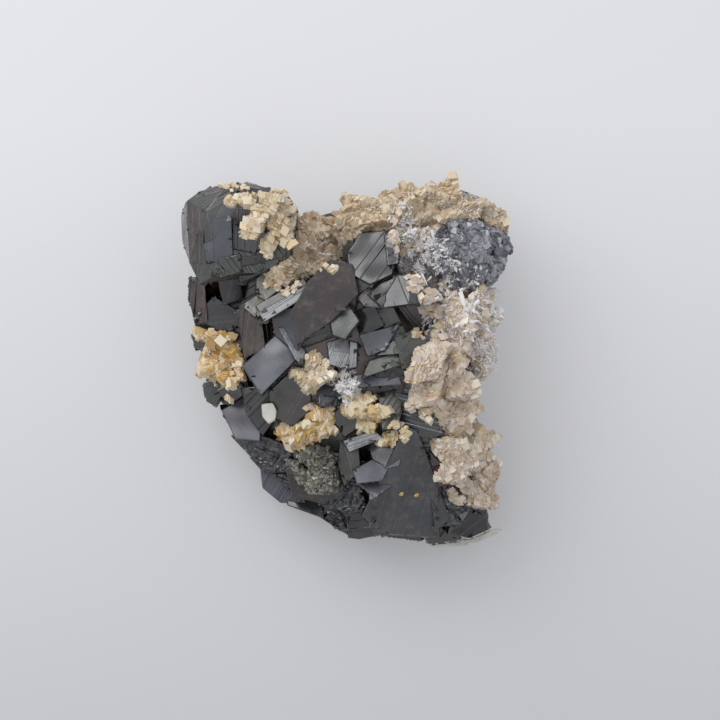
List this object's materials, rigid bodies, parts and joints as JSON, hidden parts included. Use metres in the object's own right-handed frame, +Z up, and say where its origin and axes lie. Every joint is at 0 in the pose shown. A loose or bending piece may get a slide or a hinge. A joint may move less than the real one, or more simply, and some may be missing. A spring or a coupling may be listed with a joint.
{
  "type": "sphalerite mineral specimen",
  "caption": "Hand specimen of dark intergrown sphalerite crystals crusted with cream carbonate rhombs, quartz points and a galena cluster, lying on its flat underside.",
  "frame": {"origin": "bottom centre of the specimen's bounding box, on the flat contact face", "axes": "+Z up from the contact face, +Y along the specimen's longest extent, towards its notched end"},
  "size_m": [0.0824, 0.0932, 0.045],
  "materials": {
    "sphalerite": "vitreous, natural crystal faces",
    "carbonate_cream": "satin, fine rhombs",
    "carbonate_ochre": "satin, iron stained rhombs",
    "quartz_clear": "glassy, clear to milky",
    "galena": "dull metallic, fine druse",
    "pyrite_grey": "granular, sparkling",
    "calcite_white": "milky, translucent"
  },
  "bodies": {
    "root": {"sphalerite_mass": "sphalerite", "carbonate_crust_upper": "carbonate_cream", "carbonate_crust_right": "carbonate_cream", "carbonate_patch_upper_left": "carbonate_cream", "ochre_cluster_left": "carbonate_ochre", "cream_cluster_centre": "carbonate_cream", "cream_cluster_low_centre": "carbonate_cream", "ochre_cluster_lower": "carbonate_ochre", "yellow_clot": "carbonate_ochre", "quartz_spray_upper_right": "quartz_clear", "quartz_druse_right": "quartz_clear", "quartz_druse_centre": "quartz_clear", "galena_cluster": "galena", "pyrite_ball": "pyrite_grey", "calcite_grain_white": "calcite_white", "calcite_foot": "calcite_white"}
  },
  "joints": []
}
